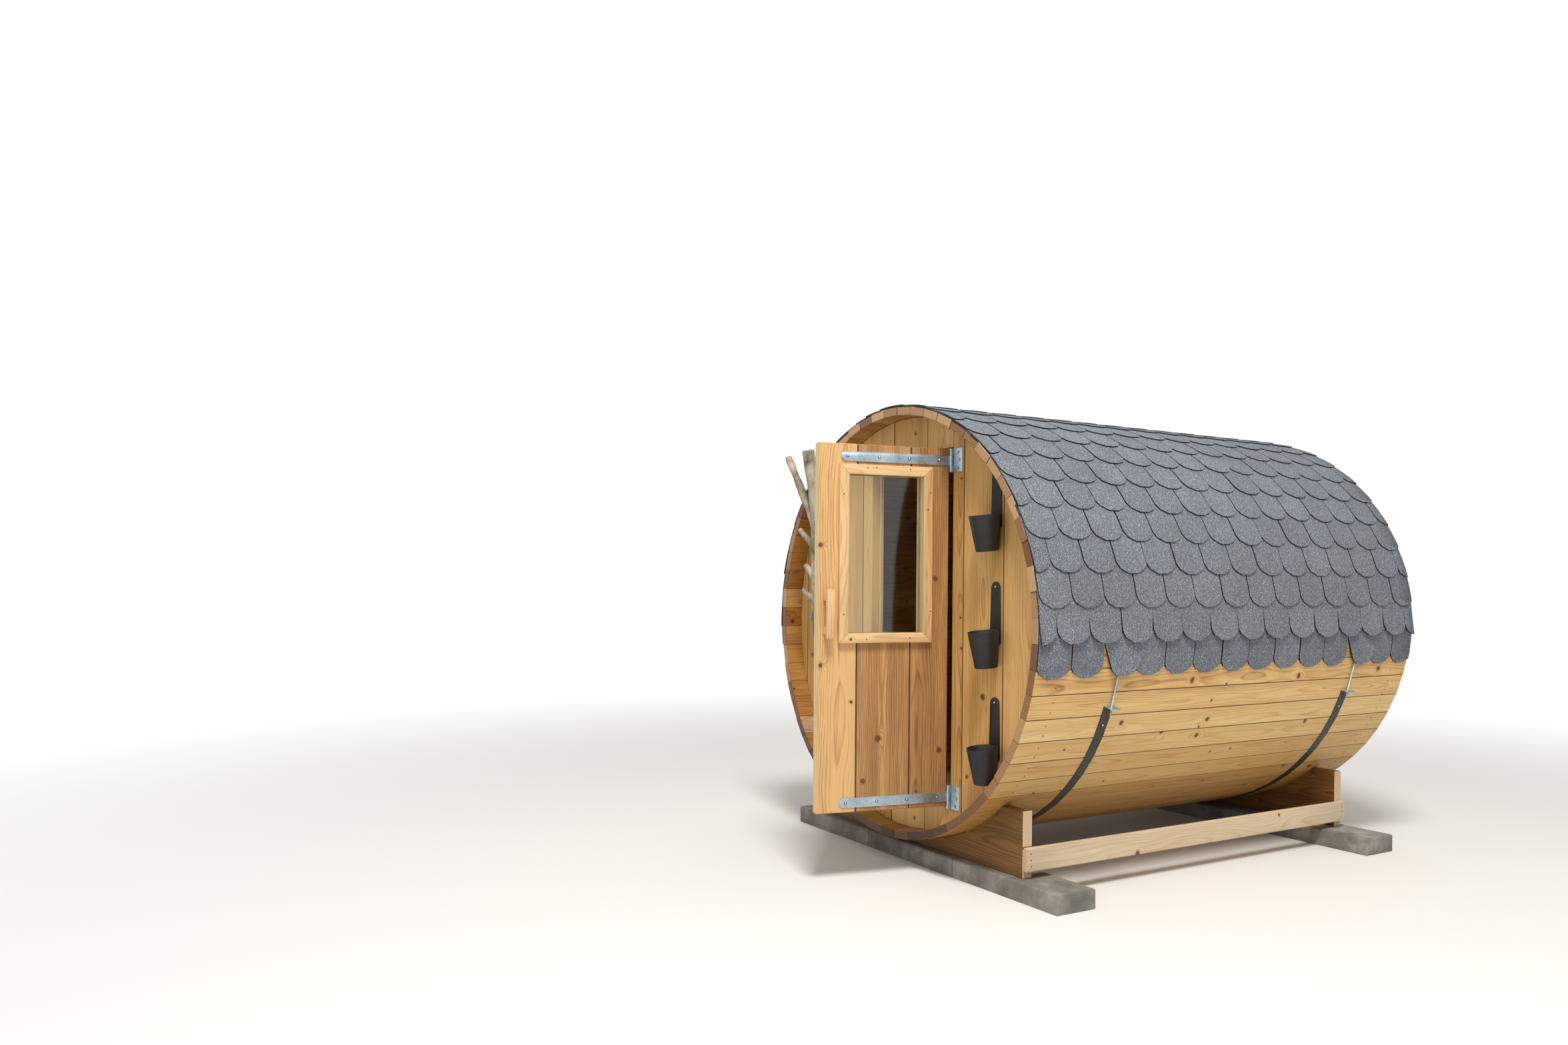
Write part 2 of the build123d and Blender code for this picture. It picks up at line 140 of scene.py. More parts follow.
def modify(piece, kind, **settings):
    # Gives a piece a modifier and applies it
    pick(piece)
    bpy.ops.object.modifier_add(type=kind)
    modifier = piece.modifiers[-1]
    for key, value in settings.items():
        setattr(modifier, key, value)
    bpy.ops.object.modifier_apply(modifier=modifier.name)


def ease(piece, width, segments=1, angle=30):
    # Takes the sharpness off a piece's edges
    modify(piece, "BEVEL", width=width, segments=segments, limit_method="ANGLE",
           angle_limit=math.radians(angle))


def smooth(piece, angle=35):
    pick(piece)
    bpy.ops.object.shade_smooth_by_angle(angle=math.radians(angle))


def trim(piece, point, normal):
    # Saws off what lies beyond a plane, and closes the cut
    edit(piece)
    bpy.ops.mesh.bisect(plane_co=point, plane_no=normal, use_fill=True, clear_outer=True)
    done()


def round_edges(piece, width, segments, chosen):
    # Rounds the edges whose two ends pass a test
    edit(piece)
    bpy.ops.mesh.select_mode(type="EDGE")
    bpy.ops.mesh.select_all(action="DESELECT")
    done()
    for edge in piece.data.edges:
        edge.select = all(chosen(piece.data.vertices[v].co) for v in edge.vertices)
    bpy.ops.object.mode_set(mode="EDIT")
    bpy.ops.mesh.bevel(offset=width, segments=segments, affect="EDGES")
    bpy.ops.mesh.select_mode(type="VERT")
    done()


def write(piece, name, values, kind="FLOAT", domain="CORNER", key="value"):
    # Keeps numbers on a piece for its material to read
    piece.data.attributes.new(name, kind, domain).data.foreach_set(key, values)


def set_tone(piece, tone):
    # A number from 0 to 1 that tells one piece's shade from its neighbours'
    write(piece, "tone", [tone] * len(piece.data.vertices), domain="POINT")


def join(pieces, name):
    pick(*reversed(pieces))
    bpy.ops.object.join()
    pieces[0].name = name
    return pieces[0]


def place_on(piece, body, slot, *nodes, of=None):
    # Fastens a finished piece to its body, lets it stand for the nodes that it replaces, and
    # gives it the material that it is all made of
    if of:
        piece.data.materials.append(of)
    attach(piece, body)
    if nodes:
        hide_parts(*nodes)


# Cast concrete: sand and cement grey, with pits of 3 mm, damp stains and paler rubbed patches
concrete, tree, surface = new_material("cast concrete", 0.85)
spot = add(tree, "TexCoord").outputs["Object"]
tone = add(tree, "Attribute", attribute_name="tone").outputs["Fac"]
stains = add(tree, "TexNoise", Scale=7, Detail=5, Roughness=0.6, Vector=spot)
sand = add(tree, "TexNoise", Scale=260, Detail=2, Vector=spot)
pits = add(tree, "TexVoronoi", Scale=90, Vector=spot)
stained = add(tree, "Math MULTIPLY_ADD", tone, 0.16, stains)
grey = add(tree, "ValToRGB", stops=[(0.35, "#55514a"), (0.6, "#7f7b73"), (0.85, "#aaa69c")], Fac=stained)
speckled = add(tree, "Mix", data_type="RGBA", blend_type="OVERLAY", Factor=0.6, A=grey,
               B=sand.outputs["Color"])
pit_depth = add(tree, "MapRange", From_Min=0.0, From_Max=0.25, Value=pits)
rough_cast = add(tree, "Math MULTIPLY_ADD", sand, 0.6, pit_depth)
relief = add(tree, "Bump", Strength=0.5, Distance=0.002, Height=rough_cast)
feed(surface, Base_Color=speckled, Normal=relief)

for end in ("front", "back"):
    kerb_low, kerb_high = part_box(f"{end}_kerb")
    stones = []
    for low, high in zip(kerb_joints, kerb_joints[1:]):
        stone = copy_of(f"{end}_kerb", f"{end}_kerb_stone")
        trim(stone, Vector((high - kerb_gap / 2, 0, 0)), right)
        trim(stone, Vector((low + kerb_gap / 2, 0, 0)), -right)
        outer_side = kerb_low.y if end == "front" else kerb_high.y
        round_edges(stone, kerb_round, 4,
                    lambda p: p.z > kerb_high.z - 0.001 and abs(p.y - outer_side) < 0.001)
        ease(stone, kerb_edge, 2)
        smooth(stone)
        set_tone(stone, chance.random())
        stones.append(stone)
    place_on(join(stones, f"{end}_kerb_stones"), "hut", "concrete", f"{end}_kerb", of=concrete)

# Cradles: two planks of stained spruce, sawn to the curve of the barrel, and the rails of
# newer, unstained spruce that are nailed to their ends.
sawn_edge = 0.0025
ring_pitch = 0.0085


def drawn_out(tree, place, squeeze, **settings):
    # Noise that is squeezed more across than along, so that it runs in fibres or streaks
    squeezed = add(tree, "VectorMath MULTIPLY", place, squeeze)
    return add(tree, "TexNoise", Scale=1, Vector=squeezed, **settings)


def timber(name, pale, middle, dark, knot, end_pale, end_dark, roughness=0.55, knots=0.4, figure=1.0):
    # Solid spruce. Growth rings run about a pith line outside the board, so that they make
    # arches on its face and arcs on its ends. They are drawn twice as wide as real ones, with
    # fibres beside them, so that they show. Knots are 9 to 22 mm, and the rings bend round them.
    material, tree, surface = new_material(name, roughness)
    place = add(tree, "Attribute", attribute_name="grain").outputs["Vector"]
    tone, cut, joint_shade_and_damp, shade_and_stain_under = (add(tree, "Attribute", attribute_name=name).outputs["Fac"]
                             for name in ("tone", "cut", "joint_shade_and_damp", "shade_and_stain_under"))
    # The pith line wanders by a few centimetres over a metre
    wander = drawn_out(tree, place, (1.6, 5, 5), Detail=1.5)
    centred = add(tree, "VectorMath SUBTRACT", wander.outputs["Color"], (0.5, 0.5, 0.5))
    pull = add(tree, "VectorMath MULTIPLY", centred, (0, 0.07, 0.07))
    bent = add(tree, "VectorMath ADD", place, pull)
    # Knots, one in about every second patch of 18 cm
    patch = 0.18
    shake = add(tree, "TexNoise", Scale=55, Detail=1, Vector=place)
    rough_place = add(tree, "VectorMath MULTIPLY_ADD", shake.outputs["Color"], (0.007, 0.007, 0), place)
    spots = add(tree, "TexVoronoi", voronoi_dimensions="2D", Scale=1 / patch, Vector=rough_place)
    lots = add(tree, "SeparateColor", Color=spots.outputs["Color"])
    has_knot = add(tree, "Math LESS_THAN", lots.outputs["Red"], knots)
    knot_size = add(tree, "Math MULTIPLY_ADD", lots.outputs["Green"], 0.036, 0.026)
    reach = add(tree, "Math DIVIDE", spots.outputs["Distance"], knot_size)
    core = add(tree, "MapRange", interpolation_type="SMOOTHSTEP", From_Min=1.12, From_Max=0.9, Value=reach)
    halo = add(tree, "MapRange", interpolation_type="SMOOTHSTEP", From_Min=2.1, From_Max=0.9, To_Max=0.4,
               Value=reach)
    halo_here = add(tree, "Math MULTIPLY", halo, has_knot)
    heart = add(tree, "ValToRGB", stops=[(0.0, knot), (0.25, "#75441d"), (0.7, "#6a3c19"), (0.95, knot)],
                Fac=reach)
    knot_here = add(tree, "Math MULTIPLY", core, has_knot)
    round_spots = add(tree, "TexVoronoi", voronoi_dimensions="2D", Scale=1 / patch, Vector=place)
    around = add(tree, "Math DIVIDE", round_spots.outputs["Distance"], knot_size)
    swell = add(tree, "MapRange", interpolation_type="SMOOTHERSTEP", From_Min=4.8, From_Max=0.0,
                To_Max=0.015, Value=around)
    swell_here = add(tree, "Math MULTIPLY", swell, has_knot)
    # Growth rings: pale early wood that darkens to a sharp late edge
    section = add(tree, "VectorMath MULTIPLY", bent, (0, 1, 1))
    radius = add(tree, "VectorMath LENGTH", section).outputs["Value"]
    swollen = add(tree, "Math SUBTRACT", radius, swell_here)
    count = add(tree, "Math DIVIDE", swollen, ring_pitch)
    year = add(tree, "Math FRACT", count)
    ring = add(tree, "ValToRGB", Fac=year, stops=[
        (0.0, "#101010"), (0.5, "#404040"), (0.8, "#d0d0d0"), (0.9, "#ffffff"), (1.0, "#101010")])
    # Fibres a few millimetres wide, and broad streaks along the board
    fibre = drawn_out(tree, bent, (5, 170, 170), Detail=3, Roughness=0.65)
    streak = drawn_out(tree, place, (0.9, 16, 16), Detail=2)
    depth = -0.85
    shares = ((ring, 0.42 * figure), (fibre, 0.75), (streak, 0.9), (tone, 0.6), (halo_here, 1.0))
    for source, share in shares:
        depth = add(tree, "Math MULTIPLY_ADD", source, share, depth)
    face = add(tree, "ValToRGB", stops=[(0.0, pale), (0.45, middle), (1.0, dark)], Fac=depth)
    # End grain drinks more stain and greys: each board its own shade
    end_depth = -0.1
    for source, share in ((ring, 0.3), (tone, 1.0), (fibre, 0.3)):
        end_depth = add(tree, "Math MULTIPLY_ADD", source, share, end_depth)
    end = add(tree, "ValToRGB", stops=[(0.0, end_pale), (1.0, end_dark)], Fac=end_depth)
    wood = add(tree, "Mix", data_type="RGBA", Factor=cut, A=face, B=end)
    knotted = add(tree, "Mix", data_type="RGBA", Factor=knot_here, A=wood, B=heart)
    # Painted shade: undersides and inner faces of staves are darker, partly also a stain that sun and rain
    # have not bleached
    shaded_and_stained = add(tree, "Mix", data_type="RGBA", blend_type="MULTIPLY", B=linear("#ac8c42"), Factor=shade_and_stain_under,
               A=knotted)
    # Painted shade where one board meets the next and on arrises that face down, and at the ends of low
    # staves darker towards the ground, as damp dirt and painted shade
    with_shade_and_damp = add(tree, "Mix", data_type="RGBA", B=linear("#1f1106"), Factor=joint_shade_and_damp, A=shaded_and_stained)
    raised = add(tree, "Math MULTIPLY_ADD", ring, 0.6, fibre)
    relief = add(tree, "Bump", Strength=0.4, Distance=0.0008, Height=raised)
    sheen = add(tree, "MapRange", To_Min=roughness - 0.1, To_Max=roughness + 0.15, Value=fibre)
    feed(surface, Base_Color=with_shade_and_damp, Normal=relief, Roughness=sheen)
    return material


def middle_of(piece):
    return sum((v.co for v in piece.data.vertices), Vector()) / len(piece.data.vertices)


def mark_grain(board, along, across, tone=None):
    # Writes each point's place along, across and through its board, from a pith line of the
    # board's own, a tone for the board, and which faces are end grain
    mesh = board.data
    through = along.cross(across)
    middle = middle_of(board)
    start = Vector((chance.uniform(0, 50), chance.uniform(-0.035, 0.035), chance.uniform(0.035, 0.09)))
    if tone is None:
        tone = chance.random()
    grain, cut = [], [0.0] * len(mesh.loops)
    for vertex in mesh.vertices:
        offset = vertex.co - middle
        grain.extend(start + Vector((offset @ along, offset @ across, offset @ through)))
    for face in mesh.polygons:
        if abs(face.normal @ along) > 0.3:
            for corner in face.loop_indices:
                cut[corner] = 1.0
    write(board, "grain", grain, "FLOAT_VECTOR", "POINT", "vector")
    write(board, "cut", cut)
    set_tone(board, tone)


def mark_joint_shade(board, direction, joints, origin=Vector(), outward=Vector()):
    # Marks the sides and arrises of a board that lie at its joints, for painted shade. An arris that faces
    # up is left out, as it catches the light
    joint_shade_and_damp = [0.0] * len(board.data.loops)
    for face in board.data.polygons:
        lean = abs(face.normal @ direction)
        place = (face.center - origin) @ direction
        if lean > 0.3 and min(abs(place - joint) for joint in joints) < 0.006:
            # Painted shade: the joint's sides darkest, an arris that faces down dark, one that faces up
            # left pale
            faces_up = face.normal.z > outward.z + 0.1
            for corner in face.loop_indices:
                joint_shade_and_damp[corner] = 0.95 if lean > 0.9 else 0.0 if faces_up else 0.75
    write(board, "joint_shade_and_damp", joint_shade_and_damp)


# The cradle faces are written darker than their stain alone, as painted shade
cradle_timber = timber("stained sawn spruce", "#8c6223", "#674211", "#452a08", "#231305",
                       "#e0c4a2", "#bd9870", roughness=0.6, knots=0.6)
rail_timber = timber("new sawn spruce", "#d9c4a6", "#c8ae8c", "#a98b68", "#6f4a2c",
                     "#d5b792", "#b8946a", roughness=0.7, knots=0.35, figure=0.7)
for end in ("front", "back"):
    cradle = copy_of(f"{end}_cradle", f"{end}_cradle_plank")
    ease(cradle, sawn_edge)
    mark_grain(cradle, right, up, 0.4)
    place_on(cradle, "hut", "cradle_wood", f"{end}_cradle", of=cradle_timber)
for side in ("left", "right"):
    rail = copy_of(f"{side}_rail", f"{side}_rail_board")
    ease(rail, sawn_edge)
    mark_grain(rail, inward, up)
    place_on(rail, "hut", "cradle_wood", f"{side}_rail", of=rail_timber)

# Staves: sixty boards of honey-stained spruce with eased edges, held together by the bands.
# Their ends stand out past the walls, and show as a ring of end grain of many shades.
stave_timber = timber("honey stained spruce", "#f2cf8f", "#deb26e", "#aa7638", "#4a280e",
                      "#cfa678", "#73492a", roughness=0.5)
stave_gap = 0.0003
stave_arris = 0.0045
short_by = 0.004
stave_nail_offset = 0.022
barrel_front, barrel_back = (corner.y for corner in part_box("staves_right_odd"))
axis_height = (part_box("staves_bottom_odd")[0].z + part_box("staves_top_odd")[1].z) / 2
axis = Vector((0, 0, axis_height))


def loose_parts(piece):
    # Every separate solid of a piece as an object of its own
    edit(piece)
    bpy.ops.mesh.separate(type="LOOSE")
    done()
    return list(bpy.context.selected_objects)


def mark_shade_and_stain_under(board, outward):
    # Marks the faces of a stave that are painted darker: the inside and the underside, as painted shade and
    # partly unbleached stain, and the ends near the ground, darker towards the ground as damp dirt and
    # painted shade
    joint_shade_and_damp = board.data.attributes["joint_shade_and_damp"].data
    shade_and_stain_under = [0.0] * len(board.data.loops)
    for face in board.data.polygons:
        # Inner faces and undersides: painted shade, with some unbleached stain
        if face.normal @ outward < -0.5:
            share = 0.85
        else:
            share = min(0.8, max(0.0, (-0.35 - outward.z) / 0.6))
        for corner in face.loop_indices:
            shade_and_stain_under[corner] = share
            # The ends near the ground darken towards the ground, as damp dirt and painted shade
            if abs(face.normal.y) > 0.9:
                joint_shade_and_damp[corner].value = 0.6 * min(1.0, max(0.0, (0.5 - face.center.z) / 0.35))
    write(board, "shade_and_stain_under", shade_and_stain_under)


stave_nail_places = []
for quarter in ("right", "top", "left", "bottom"):
    for set_name in ("odd", "even"):
        node = f"staves_{quarter}_{set_name}"
        boards = loose_parts(copy_of(node, f"{node}_board"))
        boards.sort(key=lambda b: [round(sum(v.co[k] for v in b.data.vertices), 2) for k in (0, 2)])
        for board in boards:
            middle = middle_of(board)
            outward = Vector((middle.x, 0, middle.z - axis_height)).normalized()
            round_the_ring = inward.cross(outward)
            # A stave's ends are sawn a few millimetres short of its neighbours' here and there
            short = [chance.uniform(0, short_by), chance.uniform(0, short_by)]
            reach = max((v.co - middle) @ round_the_ring for v in board.data.vertices)
            for vertex in board.data.vertices:
                vertex.co.y += short[0] if vertex.co.y < middle.y else -short[1]
                side = 1 if (vertex.co - middle) @ round_the_ring > 0 else -1
                vertex.co -= round_the_ring * side * stave_gap / 2
            ease(board, stave_arris)
            mark_grain(board, inward, round_the_ring)
            mark_joint_shade(board, round_the_ring, (-reach, reach), middle, outward)
            mark_shade_and_stain_under(board, outward)
            if outward.z < -0.2:
                rise = max((v.co - axis) @ outward for v in board.data.vertices)
                for wall in ("front_wall_right", "back_wall"):
                    wall_low, wall_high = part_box(wall)
                    for offset in (-stave_nail_offset, stave_nail_offset):
                        y = (wall_low.y + wall_high.y) / 2 + chance.uniform(-0.004, 0.004)
                        place = axis + outward * rise + round_the_ring * offset + inward * y
                        stave_nail_places.append((place, outward))
        place_on(join(boards, f"{node}_boards"), "hut", "stave_wood", node, of=stave_timber)

# End walls: upright boards of honey-stained spruce, 44 mm thick, with a small vee at each
# joint. The back wall repeats the front without a doorway.
wall_timber = timber("honey stained spruce boards", "#e0b471", "#c69856", "#936530", "#45260f",
                     "#c79a63", "#8d5d2c", roughness=0.55, knots=0.45)
wall_board = 0.252
wall_joint = -0.098
joint_gap = 0.0005
joint_vee = 0.0035


def saw_boards(node, name, joints, along, across, origin=Vector(), tones=None):
    # Splits a panel into boards at joints that are measured across it from an origin, takes the sharpness
    # off their edges, and marks their grain and the painted shade at their joints
    boards = []
    for low, high in zip(joints, joints[1:]):
        board = copy_of(node, name)
        trim(board, origin + across * (high - joint_gap / 2), across)
        trim(board, origin + across * (low + joint_gap / 2), -across)
        if board.data.vertices:
            ease(board, joint_vee)
            mark_grain(board, along, across, tones[len(boards)] if tones else None)
            mark_joint_shade(board, across, joints, origin)
            boards.append(board)
        else:
            bpy.data.objects.remove(board)
    return join(boards, f"{name}s")


wall_joints = [wall_joint + wall_board * k for k in range(-4, 6)]
for node in ("front_wall_left", "front_wall_right", "front_wall_over_door", "front_wall_under_door",
             "back_wall"):
    boards = saw_boards(node, f"{node}_board", wall_joints, up, right)
    place_on(boards, "hut", "wall_wood", node, of=wall_timber)

# Floor: planed boards of plain, unstained spruce, laid side by side along the hut and nailed
# to sawn cross bearers that rest on the lower staves.
floor_timber = timber("plain planed spruce", "#d8bd92", "#c3a173", "#9b7a50", "#5c3d22",
                      "#c6a77b", "#8f7046", roughness=0.65, knots=0.4)
deck_low, deck_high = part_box("floor_deck")
deck_board = 0.118
deck_joints = [deck_low.x - 0.01, *(deck_board * (k - 0.5) for k in range(-3, 5)), deck_high.x + 0.01]
deck = saw_boards("floor_deck", "floor_board", deck_joints, inward, right)
place_on(deck, "hut", "floor_wood", "floor_deck", of=floor_timber)
bearers = loose_parts(copy_of("floor_bearers", "floor_bearer"))
for bearer in bearers:
    mark_grain(bearer, right, up)
place_on(join(bearers, "floor_bearer_set"), "hut", "floor_wood", "floor_bearers", of=floor_timber)

# Door stop: planed strips of light-stained spruce round the inside of the doorway. The leaf
# closes on them, and the two upright ones are butted under the head strip.
trim_timber = timber("planed spruce, light stain", "#e4c08c", "#c99d68", "#986c42", "#54301a",
                     "#d8b07a", "#a9773f", roughness=0.5, knots=0.2, figure=0.7)
stop_arris = 0.002
stop_low, stop_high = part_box("door_stop")
stop_head = stop_high.z - 0.04
strips = []
for side, inner in (("left", right), ("right", -right), ("head", None)):
    strip = copy_of("door_stop", f"door_stop_{side}")
    if side == "head":
        along, across = right, up
        trim(strip, Vector((0, 0, stop_head)), -up)
    else:
        along, across = up, right
        trim(strip, Vector((0, 0, stop_head - joint_gap)), up)
        trim(strip, (stop_low + stop_high) / 2, inner)
    ease(strip, stop_arris)
    mark_grain(strip, along, across)
    strips.append(strip)
place_on(join(strips, "door_stop_strips"), "hut", "trim_wood", "door_stop", of=trim_timber)

# Door leaf: three boards of honey-stained spruce, 38 mm thick, screwed to two ledges on the
# inside. The free edge and the edges of the window hole were left unstained and have
# turned pale yellow.
hinge_axis = Vector(frame["joints"][0]["pos_m"])
open_angle = math.radians(79)
leaf_along = Vector((math.cos(open_angle), math.sin(open_angle), 0))
leaf_out = Vector((math.sin(open_angle), -math.cos(open_angle), 0))
# The door boards' colours are written darker than the walls', as painted shade
door_timber = timber("honey stained door boards", "#dcb074", "#ad7e4a", "#744d28", "#42240f",
                     "#cf9f66", "#97652f", roughness=0.5, knots=0.45, figure=0.75)
bare_edge, tree, surface = new_material("unstained spruce edge", 0.6)
spot = add(tree, "TexCoord").outputs["Object"]
fibre = drawn_out(tree, spot, (160, 160, 3), Detail=2)
edge_colour = add(tree, "ValToRGB", stops=[(0.3, "#e6d9a8"), (0.7, "#cbb880")], Fac=fibre)
feed(surface, Base_Color=edge_colour)
ledge_arris = 0.003
leaf_joints = [-0.62, -0.4255, -0.182, 0.01]
# Painted shadow of the barrel: the board at the free edge is pale, the two by the hinge are dark
barrel_shadow_tones = [0.0, 0.75, 0.95]
leaf = saw_boards("door_leaf", "door_board", leaf_joints, up, leaf_along, hinge_axis, barrel_shadow_tones)
leaf.data.materials.append(door_timber)
leaf.data.materials.append(bare_edge)
free_edge = min((v.co - hinge_axis) @ leaf_along for v in leaf.data.vertices)
pane_low, pane_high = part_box("window_glass")
pane = frame["nodes"]["window_glass"]
pane_reach = [(v.co - hinge_axis) @ leaf_along for v in pane.data.vertices]
pane_left, pane_right = min(pane_reach), max(pane_reach)
for face in leaf.data.polygons:
    place = (face.center - hinge_axis) @ leaf_along
    free_side = face.normal @ leaf_along < -0.9 and place < free_edge + 0.002
    in_window = (pane_left - 0.01 < place < pane_right + 0.01
                 and pane_low.z - 0.01 < face.center.z < pane_high.z + 0.01)
    if free_side or in_window and abs(face.normal @ leaf_out) < 0.9:
        face.material_index = 1
place_on(leaf, "door", "door_wood", "door_leaf")
ledges = loose_parts(copy_of("door_ledges", "door_ledge"))
for ledge in ledges:
    ease(ledge, ledge_arris)
    mark_grain(ledge, leaf_along, up)
place_on(join(ledges, "door_ledge_boards"), "door", "door_wood", "door_ledges", of=door_timber)

# Window: a pane of float glass in the leaf's hole, held by two frames of planed spruce, one
# on each side. Each is mitred at its corners and nailed.
pane_lap = 0.005
frame_arris = 0.0022
pane_centre = hinge_axis + leaf_along * (pane_left + pane_right) / 2
pane_centre.z = (pane_low.z + pane_high.z) / 2
half_width = (pane_right - pane_left) / 2 - pane_lap
half_height = (pane_high.z - pane_low.z) / 2 - pane_lap
for name in ("outer", "inner"):
    sides = []
    wide, high = (leaf_along, half_width), (up, half_height)
    for (across, reach), (other, other_reach) in ((wide, high), (high, wide)):
        for outward in (across, -across):
            side = copy_of(f"window_trim_{name}", f"window_trim_{name}_side")
            for end in (1, -1):
                corner = pane_centre + outward * reach + other * other_reach * end
                trim(side, corner, (other * end - outward).normalized())
            trim(side, pane_centre, -outward)
            ease(side, frame_arris, 2)
            mark_grain(side, other, outward)
            sides.append(side)
    window_frame = join(sides, f"window_frame_{name}")
    place_on(window_frame, "door", "trim_wood", f"window_trim_{name}", of=trim_timber)

# Float glass: clear, with a faint green edge
clear_glass, tree, surface = new_material("float glass", 0.02)
feed(surface, Base_Color=linear("#eef5f1"), Transmission_Weight=1.0, IOR=1.5)
pane.data.materials.clear()
pane.data.materials.append(clear_glass)

# Handle: an upright bar of planed spruce that stands off the leaf on two blocks. All of it is
# cut from one thick piece, with rounded edges.
handle_arris = 0.004
handle = copy_of("door_handle", "door_handle_bar")
ease(handle, handle_arris, 2)
mark_grain(handle, up, leaf_along, 0.1)
place_on(handle, "door", "trim_wood", "door_handle", of=trim_timber)

# Hinges: galvanised tee hinges with a spangle, a long strap on the door and a plate on the
# wall, held by round-headed screws.
steel_edge = 0.0006
galvanised, tree, surface = new_material("galvanised steel", 0.4, 1.0)
spot = add(tree, "TexCoord").outputs["Object"]
spangle = add(tree, "TexVoronoi", Scale=110, Vector=spot)
flake = add(tree, "SeparateColor", Color=spangle.outputs["Color"])
haze = add(tree, "TexNoise", Scale=14, Detail=3, Vector=spot)
zinc_depth = add(tree, "Math MULTIPLY_ADD", flake.outputs["Red"], 0.2, haze)
zinc = add(tree, "ValToRGB", stops=[(0.3, "#95a6b0"), (0.9, "#c6d6df")], Fac=zinc_depth)
dull = add(tree, "MapRange", To_Min=0.3, To_Max=0.55, Value=haze)
feed(surface, Base_Color=zinc, Roughness=dull)
for end in ("top", "bottom"):
    for part, body in (("strap", "door"), ("plate", "hut")):
        piece = copy_of(f"{end}_hinge_{part}", f"{end}_hinge_{part}_steel")
        ease(piece, steel_edge, 1, 60)
        smooth(piece)
        place_on(piece, body, "galvanised_steel", f"{end}_hinge_{part}", of=galvanised)

# Screws and nails: round-headed zinc screws hold the hinges, and small wire nails, punched
# just below the face, hold the window frames.
screw_radius = 0.0046
screw_height = 0.0026
screw_recess = 0.0016
strap_screws = [-0.472, -0.330, -0.192, -0.053]
plate_screws = [(0.368, 0.033), (0.3755, 0.0), (0.368, -0.033)]
nail_radius = 0.0028
nail_height = 0.0006
nail_recess = 0.0002
rail_nail_inset = 0.022
rail_nails = [0.025, 0.0, -0.025]
frame_nails = [(-0.390, 0.655), (-0.348, 0.657), (-0.195, 0.655), (-0.494, 0.543), (-0.492, 0.047),
               (-0.100, 0.560), (-0.112, 0.489), (-0.098, 0.060), (-0.389, -0.056), (-0.191, -0.052)]
frame_faces = ((0.011, 1), (-0.067, -1))


def screw_head(name, radius, height, recess):
    # A round head at the origin that faces up, domed, with a recess in its middle
    pick()
    bpy.ops.mesh.primitive_cylinder_add(vertices=14, radius=radius, depth=height,
                                        location=(0, 0, height / 2))
    head = bpy.context.object
    head.name = name
    bpy.ops.object.transform_apply(location=True, rotation=False, scale=False)
    top = max(head.data.polygons, key=lambda f: f.center.z).index
    edit(head)
    bpy.ops.mesh.select_mode(type="FACE")
    bpy.ops.mesh.select_all(action="DESELECT")
    done()
    head.data.polygons[top].select = True
    bpy.ops.object.mode_set(mode="EDIT")
    for share, rise in ((0.3, height * 0.45), (0.28, height * 0.2), (0.06, -recess)):
        bpy.ops.mesh.inset(thickness=radius * share)
        bpy.ops.transform.translate(value=(0, 0, rise))
    bpy.ops.mesh.select_mode(type="VERT")
    done()
    return head


def close_up():
    # Turns every face outwards, and leaves edit mode
    bpy.ops.mesh.select_all(action="SELECT")
    bpy.ops.mesh.normals_make_consistent(inside=False)
    done()


def another(pattern, name):
    # A copy of a pattern, with a mesh of its own
    piece = pattern.copy()
    piece.data = pattern.data.copy()
    piece.name = name
    bpy.context.scene.collection.objects.link(piece)
    return piece


def facing(place, outward):
    # Brings what was made face up at the origin to a place, facing outwards
    return Matrix.Translation(place) @ outward.to_track_quat("Z", "Y").to_matrix().to_4x4()


def drive(pattern, name, place, outward):
    head = another(pattern, name)
    head.data.transform(facing(place, outward) @ Matrix.Rotation(chance.uniform(0, 3), 4, "Z"))
    return head


def mottle(tree, surface, scale, detail, *stops):
    # Lets a surface's colour waver in patches, and returns their pattern
    spot = add(tree, "TexCoord").outputs["Object"]
    patches = add(tree, "TexNoise", Scale=scale, Detail=detail, Vector=spot)
    feed(surface, Base_Color=add(tree, "ValToRGB", stops=stops, Fac=patches))
    return patches


def set_screws(screws, name, body, of=None):
    # Fastens finished screws as one piece
    screws = join(screws, name)
    smooth(screws, 40)
    place_on(screws, body, "galvanised_steel", of=of)


def disc(vertices, radius):
    # A flat, filled disc that faces up at the origin
    pick()
    bpy.ops.mesh.primitive_circle_add(vertices=vertices, radius=radius, fill_type="NGON")
    return bpy.context.object


screw_pattern = screw_head("screw_head", screw_radius, screw_height, screw_recess)
